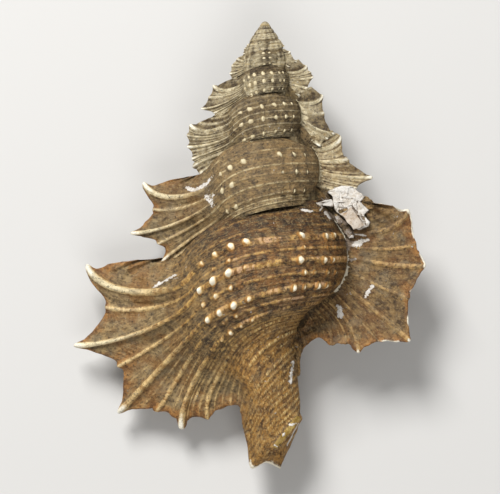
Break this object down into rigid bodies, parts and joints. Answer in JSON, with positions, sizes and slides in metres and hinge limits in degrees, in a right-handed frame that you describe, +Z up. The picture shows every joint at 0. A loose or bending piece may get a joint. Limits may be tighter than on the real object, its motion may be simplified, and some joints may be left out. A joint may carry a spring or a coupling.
{
  "type": "gyrineum shell",
  "caption": "Empty winged sea shell with a pointed spire, rows of beads, flat webbed wings with spines on both sides, a round mouth and a short canal.",
  "frame": {"origin": "centre of the shell's box at the ground it lies on, on its mouth's side", "axes": "+X to the right as the shell's back is looked at, +Y up the spire to the apex, +Z up, out of the back"},
  "size_m": [0.0472, 0.0598, 0.0172],
  "materials": {
    "shell": "dull, chalky lime of a sea shell, brown and ochre, with cream beads and rib tips, grey dirt and some white crust"
  },
  "bodies": {
    "root": {"shell": "shell"}
  },
  "joints": []
}
